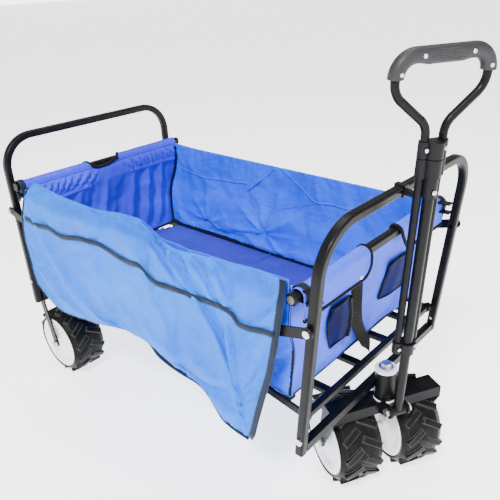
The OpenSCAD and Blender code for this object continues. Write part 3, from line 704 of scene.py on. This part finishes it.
Pn, rn, cn = side_wall("near", -1, 5, near_top)
Pn[..., 1] += np.clip(creases(U, V, 64, 61, (40, 160), (1.4, 4.6), (3, 9), (-780, -40, 230, 430)), -2, 9) * edge_w
near = grid_mesh("near_wall_cloth", Pn, material=M_BLUE_IN)
pins = np.zeros((rn, cn)); pins[0] = 1; pins[-1] = 1; pins[:, 0] = 1; pins[:, -1] = 1
crumple(near, pins.ravel(), (rn, cn), frames=18, grow=0.015, cap=7, seed=6)
Pn = surf_points(near, rn, cn)
thicken(near, 1.2)

# ------------------------------------------------------------------ end walls, each with a sleeve over its rail
ZR = ZR_F


def half_width(z):
    k = np.clip((z - 298) / 95, 0, 1)
    return 205.5 + 24.0 * k * k * (3 - 2 * k)


def join_grids(name, grids, material):
    objs = [grid_mesh(name + "_%d" % i, g, material=material) for i, g in enumerate(grids)]
    bm = bmesh.new()
    for o in objs:
        bm.from_mesh(o.data)
    me = bpy.data.meshes.new(name)
    bm.to_mesh(me); bm.free()
    for o in objs:
        bpy.data.objects.remove(o)
    me.materials.append(material)
    me.polygons.foreach_set("use_smooth", [True] * len(me.polygons))
    o = bpy.data.objects.new(name, me)
    bpy.context.scene.collection.objects.link(o)
    return o


def sleeve_rows(rail_x, inn, z_hem_in, z_hem_out, rad):
    """Section of the sleeve: up the inner face, over the rail, down outside; rows of (x, z)."""
    prof = [(rail_x + inn * rad, z) for z in np.linspace(z_hem_in, ZR, 12)]
    for a_ in np.linspace(12, 168, 14):
        th = math.radians(a_)
        prof.append((rail_x + inn * rad * math.cos(th), ZR + rad * math.sin(th)))
    prof += [(rail_x - inn * rad, z) for z in np.linspace(ZR, z_hem_out, 14)]
    return np.array(prof)


def sleeve(rail_x, inn, z_in, z_out, y_a, y_b, seed, pleat, rad=13.0, slack=1.0):
    """y_a(z, k) and y_b(z, k) give the two ends of each row, k running 0 inside to 1 outside."""
    prof = sleeve_rows(rail_x, inn, z_in, z_out, rad)
    rng = np.random.default_rng(seed)
    R, Cn = len(prof), 60
    n1 = smooth_noise(rng, R, Cn, 4, 7) * 0.9
    P = np.zeros((R, Cn, 3))
    c0 = np.array([rail_x, ZR])
    for i, (x, z) in enumerate(prof):
        k = i / (R - 1)
        ya, yb = y_a(z, k), y_b(z, k)
        for j in range(Cn):
            y = ya + (yb - ya) * j / (Cn - 1)
            d = np.array([x, max(z, ZR)]) - c0
            d = d / (np.linalg.norm(d) + 1e-9)
            am = n1[i, j] * 0.6 * slack + slack + (pleat * (0.5 + 0.5 * math.sin(y / 2.6 + 1.6 * math.sin(y / 17.0) + z * 0.12)) * max(0, 1 - abs(k - 0.18) / 0.2) if pleat else 0)
            P[i, j] = (x + d[0] * am, y, z + d[1] * am)
    return P


def end_panel(rail_x, inn, bottom_x, top_z, seed, folds, pinch):
    rng = np.random.default_rng(seed)
    rows, cols = 60, 120
    n1 = smooth_noise(rng, rows, cols, 6, 8) * 1.6
    v = np.linspace(-1, 1, cols)
    A = np.zeros((rows, cols)); B = np.zeros((rows, cols)); X = np.zeros((rows, cols))
    for i, z in enumerate(np.linspace(221, top_z, rows)):
        k = (z - 221) / (ZR - 4 - 221)
        X[i] = bottom_x + (rail_x + inn * (11.0 if inn < 0 else 12.0) - bottom_x) * (k if inn < 0 else np.clip((k - 0.55) / 0.3, 0, 1))
        A[i] = v * half_width(z); B[i] = z
    h = n1 + creases(A, B, 40, seed + 1, (30, 110), (0.6, 2.6), (3, 8), (-200, 200, 225, 400))
    for (y0, y1, w, am) in folds:
        yc = y0 + (y1 - y0) * (B - 221) / (420 - 221)
        h += am * np.exp(-((A - yc) / w) ** 2) * np.clip((425 - B) / 60, 0, 1)
    if pinch is not None:
        h += star(A, B, *pinch)
    if inn > 0:
        pl = np.where(A < 0, 1.0, -0.6)
        w_ = np.sin((A - (B - 430) * 0.9 * pl) / 3.4 + 1.7 * np.sin(A / 23.0)) + 0.5 * np.sin(A / 2.1 + B / 17.0)
        zone = np.exp(-((B - 437) / 14.0) ** 2) * np.clip((np.abs(A - 2) - 30) / 30, 0, 1)
        h = h * np.clip((446 - B) / 30, 0.15, 1) + 3.0 * (w_ + 0.4) * zone
    e = np.clip((B - 221) / 14, 0, 1) * np.clip((top_z + (3 if inn > 0 else 0) - B) / 12, 0, 1) * np.clip((half_width(B) - np.abs(A)) / 12, 0, 1)
    return np.stack([X - inn * (np.clip(h, -3, 9) if inn < 0 else -np.clip((h * 1.5 + 3) * np.clip((B - 225) / 75, 0.1, 1), -2, 20)) * e, A, B], -1)


ZR = ZR_R
# rear: sleeve folded to the inside with a stitched band, cut away at the middle for the hand
ya_r = lambda z, k: np.interp(z + (60 if k > 0.5 else 0), [452, 455, 459, 463, 468, 475, 483], [-31, -38, -43, -47, -51, -57, -58])
yb_r = lambda z, k: np.interp(z + (60 if k > 0.5 else 0), [452, 455, 460, 465, 470, 475, 483], [0, 6, 18, 31, 37, 43, 45])
Pr = end_panel(RAIL_R, 1, -801.0, ZR - 5, 21, [(172, 182, 7, -9), (150, 168, 6, 10), (128, 148, 6, -9), (104, 122, 7, 11), (76, 100, 8, -9), (44, 76, 8, 9), (4, 48, 10, -7), (-50, -10, 9, 8), (-86, -50, 8, -6), (-120, -90, 9, 7)], None)
Sr1 = sleeve(RAIL_R, 1, 452.5, 425, lambda z, k: -half_width(z) + 1, ya_r, 71, 1.2, 11.5, 0.5)
Sr2 = sleeve(RAIL_R, 1, 452.5, 425, yb_r, lambda z, k: half_width(z) - 1, 72, 1.2, 11.5, 0.5)
rear = join_grids("rear_wall_cloth", [Pr, Sr1, Sr2], M_BLUE_END_SHADE)
thicken(rear, 1.0)

ZR = ZR_F
# front: sleeve hangs outside with a bound lower edge and a bound cut-out
ya_f = lambda z, k: np.interp(k, [0, 0.3, 0.5, 0.62, 0.72, 0.86, 0.96, 1], [-52, -48, -46, -44, -41, -42, -52, -62])
yb_f = lambda z, k: np.interp(k, [0, 0.3, 0.5, 0.62, 0.72, 0.86, 0.96, 1], [70, 64, 60, 62, 66, 76, 84, 92])
Pq = end_panel(RAIL_F, -1, -42.0, ZR + 2, 23, [(-150, -165, 12, 5), (150, 165, 12, 5)], (-64, 262, [(-60, 50, 8, 10), (-95, 45, 7, 9), (-125, 50, 8, 10), (-30, 60, 6, 10), (-150, 60, 6, 10), (90, 40, 4, 10)]))
Sf1 = sleeve(RAIL_F, -1, 415, 398, lambda z, k: -half_width(z) + 1, ya_f, 73, 0, 11.5, 0.5)
Sf2 = sleeve(RAIL_F, -1, 415, 398, yb_f, lambda z, k: half_width(z) - 1, 74, 0, 11.5, 0.5)
front = join_grids("front_wall_cloth", [Pq, Sf1, Sf2], M_BLUE_FRONT)
thicken(front, 1.0)


def edge_band(name, path, r, body, material=None, flat=0.55, seg=8):
    t = tube_mesh(name, path, r, material or M_SEAM, seg)
    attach(t, body)
    return t


def trace(S, which):
    """Edge path of a sleeve grid: its inner end, over the rail, and along the outer hem."""
    e = S[:, -1] if which == "b" else S[:, 0]
    hem = S[-1] if which == "a" else S[-1][::-1]
    return np.concatenate([e[2:], hem[2:] if True else hem])


extras = []
extras.append(edge_band("front_cutout_tape_near", smooth_curve(trace(Sf1, "b"), 160, 1), 3.3, "front_frame"))
extras.append(edge_band("front_cutout_tape_far", smooth_curve(trace(Sf2, "a"), 160, 1), 3.3, "front_frame"))
extras.append(edge_band("rear_cutout_tape_near", smooth_curve(Sr1[:-4, -1], 60, 1), 3.2, "rear_frame"))
extras.append(edge_band("rear_cutout_tape_far", smooth_curve(Sr2[:-4, 0], 60, 1), 3.2, "rear_frame"))
# the rear cut-out's lower edge dips between the two sleeves
dip = [(RAIL_R + 12.8, y, z) for y, z in smooth_curve([(-47, 463), (-43, 458.7), (-37, 455.5), (-30, 454.3), (-9, 454.7), (3, 456.5), (13.3, 459.5), (24, 462.5), (31, 465)], 60, 1)]
extras.append(edge_band("rear_cutout_tape_mid", dip, 4.6, "rear_frame"))


def snap(name, at, normal, r, body, material=None):
    """A small domed snap or screw head standing on a surface."""
    n = Vector(normal).normalized()
    seg, ring = 20, 5
    rows_ = []
    a_ = n.orthogonal().normalized(); b_ = n.cross(a_)
    for i in range(ring + 1):
        ph = (math.pi / 2) * i / ring
        rr = r * math.cos(ph) if i < ring else 1e-5
        hh = r * 0.42 * math.sin(ph)
        rows_.append([(rr, hh)] * 1)
    verts = []; faces = []
    for i, row in enumerate(rows_):
        rr, hh = row[0]
        for j in range(seg):
            th = 2 * math.pi * j / seg
            verts.append(Vector(at) + (a_ * math.cos(th) + b_ * math.sin(th)) * rr + n * hh)
    for i in range(ring):
        for j in range(seg):
            k = (j + 1) % seg
            faces.append((i * seg + j, i * seg + k, (i + 1) * seg + k, (i + 1) * seg + j))
    faces.append(tuple(range(seg))[::-1])
    me = bpy.data.meshes.new(name)
    me.from_pydata([tuple(v_) for v_ in verts], [], faces)
    me.polygons.foreach_set("use_smooth", [True] * len(me.polygons))
    me.update()
    o = bpy.data.objects.new(name, me)
    bpy.context.scene.collection.objects.link(o)
    o.data.materials.append(material or M_STEEL)
    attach(o, body)
    return o


snap("front_sleeve_snap", W((5.4, -72.0, 405.0)), (1, 0, 0), 0.0048, "front_frame")
snap("front_sleeve_snap_far", W((5.4, 96.0, 405.0)), (1, 0, 0), 0.0048, "front_frame")
for i, (y, z) in enumerate([(-72.5, 416), (70.5, 424.5), (215, 417)]):
    snap("rear_band_snap_%d" % i, W((RAIL_R + 16.2, y, z)), (1, 0, 0), 0.0030, "rear_frame")
# stitched bands along the inner hem of the rear sleeve
for nm, y0, y1, z0, z1 in [("near", -217, -58, 405.0, 415.0), ("far", 62, 217, 420.5, 417.0)]:
    pth = [(RAIL_R + 15.9, y, z0 + (z1 - z0) * (y - y0) / (y1 - y0)) for y in np.linspace(y0, y1, 40)]
    t = ribbon("rear_sleeve_band_" + nm, pth, 9, 1.0, M_BLUE_END_SHADE, normal=(1, 0, 0), dome=0.5)
    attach(t, "rear_frame")


def wall_x(z):
    return -42 + (RAIL_F - 11.0 + 42) * (z - 221) / (ZR - 4 - 221)


def lift_wall(px, py, off):
    x = -20.0
    for _ in range(30):
        p = lift_x(px, py, x)
        x = wall_x(p[2]) + off
    return p


# two net pockets on the front wall, bound in black
def pocket(name, top, bottom, left, right, bulge):
    r_, c_ = 30, 24
    G_ = coons(smooth_curve(top, 60, 1), smooth_curve(bottom, 60, 1), smooth_curve(left, 60, 1), smooth_curve(right, 60, 1), r_, c_)
    P = np.zeros((r_, c_, 3))
    for i in range(r_):
        for j in range(c_):
            u_, v_ = j / (c_ - 1), i / (r_ - 1)
            P[i, j] = lift_wall(G_[i, j, 0], G_[i, j, 1], 3.0 + bulge * math.sin(math.pi * u_) ** 0.8 * (0.55 + 0.45 * (1 - v_)) + 1.2 * math.sin(9 * u_ + 3 * v_))
    o = grid_mesh(name, P, material=M_NET)
    area_ = sheet_area(o)
    thicken(o, 0.8)
    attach(o, "front_frame")
    tps = []
    for k, (path, w) in enumerate([(P[0], 2.0), (P[:, 0], 1.7), (P[:, -1], 5.0), (P[-1], 1.7)]):
        t = tube_mesh(name + "_tape_%d" % k, smooth_curve(path + np.array([0.8, 0, 0]), 50, 1), w, M_SEAM, 8)
        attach(t, "front_frame")
        tps.append(t)
    return o, area_, tps


pock_n, A_PN, TP_N = pocket("front_pocket_near", [(330.5, 310.5), (338, 306), (349, 297)], [(329.4, 348), (335, 343), (341.5, 338.5), (346, 335)], [(330.5, 310.5), (327.6, 322), (327.4, 335), (329.4, 348)], [(349, 297), (350, 312), (349, 325), (346, 335)], 10)
pock_f, A_PF, TP_F = pocket("front_pocket_far", [(387, 269), (393, 262), (400, 257), (408, 252)], [(377.5, 299), (386, 295.5), (394, 290), (402, 284)], [(387, 269), (384, 280), (381, 290), (377.5, 299)], [(408, 252), (407, 262), (405, 274), (402, 284)], 8)

# ribbed webbing strap hanging from under the sleeve
sc_ = [(357.2, 284.0, 4), (357.0, 291, 5), (356.6, 300, 7), (356.2, 310, 9), (356.6, 320.4, 10), (358.6, 328, 10), (361.2, 334, 10), (364.6, 340, 10), (367.6, 346, 10), (369.2, 351.5, 10)]
spath = np.array([lift_wall(a_, b_, c_) for a_, b_, c_ in sc_])
strap = ribbon("front_pull_strap", smooth_curve(spath, 90, 2), 23, 1.6, M_WEB, normal=(0.92, -0.38, 0.0), taper=0.2)
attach(strap, "front_frame")


def rail_tab(name, rail_x, y, body, flip, tail):
    """Dark tab of tape looped over the rail's end, its tail hanging below."""
    pts = [(-10, -9), (-12.5, 0), (-10, 9), (-3, 13.5), (5, 13), (11.5, 7.5), (13.5, -2), (12, -12), (9.5, -22), (8, -30), (7, -tail)]
    zr = ZR_F if rail_x > -400 else ZR_R
    path = np.array([(rail_x + flip * a_, y, zr + b_) for a_, b_ in pts])
    path = smooth_curve(path, 60, 1)
    nr = path - np.array([rail_x, y, zr])
    nr[:, 1] = 0
    nr[:, 2] = np.where(nr[:, 2] < -6, nr[:, 2] * 0.15, nr[:, 2])
    t = ribbon(name, path, 13, 1.4, M_BIND, normal=nr, out=1.2)
    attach(t, body)
    return t


rail_tab("rail_tab_front_near", RAIL_F, -217.5, "front_frame", 1, 40)
rail_tab("rail_tab_front_far", RAIL_F, 231.5, "front_frame", 1, 34)
for sg in (-1, 1):
    snap("rail_end_disc_%s" % ("near" if sg < 0 else "far"), W((RAIL_F, sg * 244.0, ZR_F)), (0, sg, 0), 0.0070, "front_frame", M_DISC)
rail_tab("rail_tab_rear_near", RAIL_R, -231.5, "rear_frame", -1, 26)

# raised, twice-stitched seams on the far wall
def on_far(path, out=1.4):
    pts = []
    for a_, b_ in path:
        pts.append(lift(a_, b_, 226.0))
    pts = smooth_curve(np.array(pts), 80, 1)
    flat = Pw.reshape(-1, 3)
    res = []
    for p_ in pts:
        d = (flat[:, 0] - p_[0]) ** 2 + (flat[:, 2] - p_[2]) ** 2
        idx = np.argsort(d)[:6]
        w_ = 1 / (d[idx] + 1.0); w_ /= w_.sum()
        res.append((p_[0], (flat[idx, 1] * w_).sum() - out, p_[2]))
    return smooth_curve(np.array(res), 80, 1)


far_bits = []
for k, pth in enumerate([[(181, 168), (194, 173), (208, 178), (228, 181), (248, 183.5)], [(249, 190), (261, 180), (274, 168.7)], [(280.6, 169.2), (292, 180), (303, 191), (313, 200.6), (322, 203), (334, 205.5), (352, 210)]]):
    t = ribbon("far_seam_%d" % k, on_far(pth), 5, 0.9, M_BLUE_IN, normal=(0, -1, 0), dome=0.7)
    far_bits.append(t)
arc = ribbon("far_seam_arc", on_far([(262, 202.3), (272, 206.5), (287, 207.7), (302, 206.5), (315, 203.4)]), 2.2, 0.6, M_BLUE_IN, normal=(0, -1, 0), dome=0.4)
far_bits.append(arc)

# bright heads on the handle's fittings
def head(name, fore, lat, t, d, r, body):
    nrm = H_FORE * d[0] + H_LAT * d[1] + H_UP * d[2]
    return snap(name, handle_pt(fore, lat, t), nrm, r, body)


for k, lat in enumerate((-38, 38)):
    head("grip_screw_%d" % k, 3.6, lat, 634, (1, 0, 0), 0.0034, "handle_slider")
for k, lat in enumerate((-70.5, 70.5)):
    head("grip_end_screw_%d" % k, 3.2, lat, 613, (1, 0, 0), 0.0034, "handle_slider")
for k, lat in enumerate((-16, 16)):
    head("block_screw_%d" % k, 3.3, lat, 504, (1, 0, 0), 0.0037, "handle_slider")
    head("clamp_screw_%d" % k, 3.3, lat, 148, (1, 0, 0), 0.0037, "handle_slider")
head("sleeve_screw", 12.5, 0, 441, (1, 0, 0), 0.0041, "handle")

# ------------------------------------------------------------------ floor cloth
def floor_cloth(name, x0, x1, seed):
    rng = np.random.default_rng(seed)
    rows, cols = 50, 60
    xs = np.linspace(x0, x1, cols); ys = np.linspace(-204, 204, rows)
    n1 = np.abs(smooth_noise(rng, rows, cols, 5, 6)) * 1.6 + np.abs(smooth_noise(rng, rows, cols, 11, 12)) * 0.7
    P = np.zeros((rows, cols, 3))
    for i, y in enumerate(ys):
        for j, x in enumerate(xs):
            e = min(1, (204 - abs(y)) / 25)
            P[i, j] = (x, y, 219.8 + n1[i, j] * e)
    o = grid_mesh(name, P, material=M_BLUE_FLOOR_SHADE)
    return o, P


ff, Pff = floor_cloth("floor_cloth_front", -422.0, -71.5, 31)
fr, Pfr = floor_cloth("floor_cloth_rear", -774, -423.5, 32)
strip = grid_mesh("floor_strip_rear", [[(x, y, 217.0 + 2.4 * (abs(x + 786.5) / 12.5) ** 2 * (1 if x > -786 else 0.6)) for y in np.linspace(-163, 163, 50)] for x in np.linspace(-799, -775, 10)], material=M_BLUE_FLOOR_SHADE)
A_STRIP = sheet_area(strip)
strip_f = grid_mesh("floor_strip_front", [[(x, y, min(220.0, 217.0 + 2.4 * (abs(x + 60) / 12.5) ** 2)) for y in np.linspace(-163, 163, 50)] for x in np.linspace(-72, -43, 10)], material=M_BLUE_FLOOR_SHADE)
A_FF, A_FR = sheet_area(ff), sheet_area(fr)
thicken(ff, 1.0, 1.0)
thicken(fr, 1.0, 1.0)
thicken(strip, 0.8, 1.0)
thicken(strip_f, 0.8, 1.0)
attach(strip_f, "front_frame")
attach(strip, "rear_frame")

t = ribbon("floor_hinge_tape", [(-422.6, y, 222.0) for y in np.linspace(-203, 203, 60)], 7, 0.8, M_BLUE_FLOOR_SHADE, normal=(0, 0, 1), dome=0.5)
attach(t, "floor_front")
# black tape over the floor seams and the upright corner seams
tapes = []
tapes.append(("seam_far_bottom_front", [(x, 203.0, 222.5) for x in np.linspace(-66, -420, 40)], "floor_front"))
tapes.append(("seam_far_bottom_rear", [(x, 203.0 - 6 * max(0, (-770 - x) / 24) ** 2, 223.5 + 9 * max(0, (-760 - x) / 34) ** 2) for x in np.linspace(-425, -794, 60)], "floor_rear"))
tapes.append(("seam_near_bottom_front", [(x, -203.0, 222.5) for x in np.linspace(-66, -420, 40)], "floor_front"))
tapes.append(("seam_near_bottom_rear", [(x, -203.0, 222.5) for x in np.linspace(-425, -794, 40)], "floor_rear"))
tapes.append(("seam_rear_bottom", [(-799.5, y, 223.0) for y in np.linspace(-200, 200, 40)], "rear_frame"))
tapes.append(("seam_front_bottom", [(-43.5, y, 224) for y in np.linspace(-200, 200, 40)], "front_frame"))
tape_objs = []
for nm, path, body in tapes:
    t = tube_mesh(nm, path, 5.8 if "far" in nm else 4.0 if "near" in nm else 3.2, M_SEAM, 10)
    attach(t, body)
    tape_objs.append(t)
corner = []
for sgn in (-1, 1):
    zc = np.linspace(224, 449, 40)
    kk = np.clip((zc - 298) / 95, 0, 1); kk = kk * kk * (3 - 2 * kk)
    path = [(rear_x(z) + 4.0, sgn * (202.5 + 20 * k), z) for z, k in zip(zc, kk)]
    t = tube_mesh("corner_seam_rear_" + ("near" if sgn < 0 else "far"), path, 2.6, M_SEAM, 8)
    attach(t, "rear_frame")
    corner.append(t)
    zf = np.linspace(224, 436, 40)
    kf = np.clip((zf - 298) / 95, 0, 1); kf = kf * kf * (3 - 2 * kf)
    t = tube_mesh("corner_seam_front_" + ("near" if sgn < 0 else "far"), [(front_x(z) - 1.5, sgn * (204.5 + 22 * k), z) for z, k in zip(zf, kf)], 3.2, M_SEAM, 8)
    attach(t, "front_frame")
    corner.append(t)

# ------------------------------------------------------------------ motion of the cloth
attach(rear, "rear_frame")
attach(front, "front_frame")
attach(ff, "floor_front")
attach(fr, "floor_rear")
ANCH = (0.3315, 0, 0)
for o in [flap, near, far] + bind + far_bits:
    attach(o, "front_frame")
    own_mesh(o)

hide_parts("side_flap")
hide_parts("side_wall_near")
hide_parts("side_wall_far")
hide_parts("rear_wall")
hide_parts("front_wall")
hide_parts("front_pockets")
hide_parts("front_strap")

# ------------------------------------------------------------------ stage, light, camera
me = bpy.data.meshes.new("stage_floor")
S = 80
me.from_pydata([(a, b, c) for c in (-0.0005, 9.0) for a, b in ((-S, -S), (S, -S), (S, S), (-S, S))], [], [(0, 1, 2, 3), (0, 4, 5, 1), (1, 5, 6, 2), (2, 6, 7, 3), (3, 7, 4, 0)])
fl = bpy.data.objects.new("stage_floor", me)
bpy.context.scene.collection.objects.link(fl)
m, nt, b = mat("stage_white", (0.95, 0.95, 0.95), 0.9)
b.inputs["Emission Color"].default_value = (1, 1, 1, 1)
b.inputs["Emission Strength"].default_value = 2.3
fl.data.materials.append(m)

world = bpy.data.worlds.new("studio")
bpy.context.scene.world = world
world.use_nodes = True
world.node_tree.nodes["Background"].inputs[0].default_value = (1, 1, 1, 1)
world.node_tree.nodes["Background"].inputs[1].default_value = 0.38


def area(name, loc, target, size, power, color=(1, 1, 1)):
    li = bpy.data.lights.new(name, "AREA")
    li.shape = "DISK"
    li.size = size
    li.energy = power
    li.color = color
    o = bpy.data.objects.new(name, li)
    o.location = loc
    d = Vector(target) - Vector(loc)
    o.rotation_euler = d.to_track_quat("-Z", "Y").to_euler()
    bpy.context.scene.collection.objects.link(o)
    return o


area("key", (1.1, -2.2, 3.0), (0, 0, 0.35), 0.6, 215)
area("fill", (2.4, -0.4, 1.6), (0.2, 0, 0.4), 1.8, 26)
area("top", (0.0, 0.6, 3.0), (0, 0, 0.3), 1.8, 60)

cam = bpy.data.cameras.new("cam")
cam.sensor_width = 36
cam.sensor_fit = "HORIZONTAL"
cam.lens = FPX / 500 * 36
cam.dof.use_dof = False
co = bpy.data.objects.new("cam", cam)
M = Matrix.Identity(4)
for i in range(3):
    M[i][0], M[i][1], M[i][2] = R_[i], U_[i], -F_[i]
M[0][3], M[1][3], M[2][3] = W(CAM)
co.matrix_world = M
bpy.context.scene.collection.objects.link(co)
bpy.context.scene.camera = co
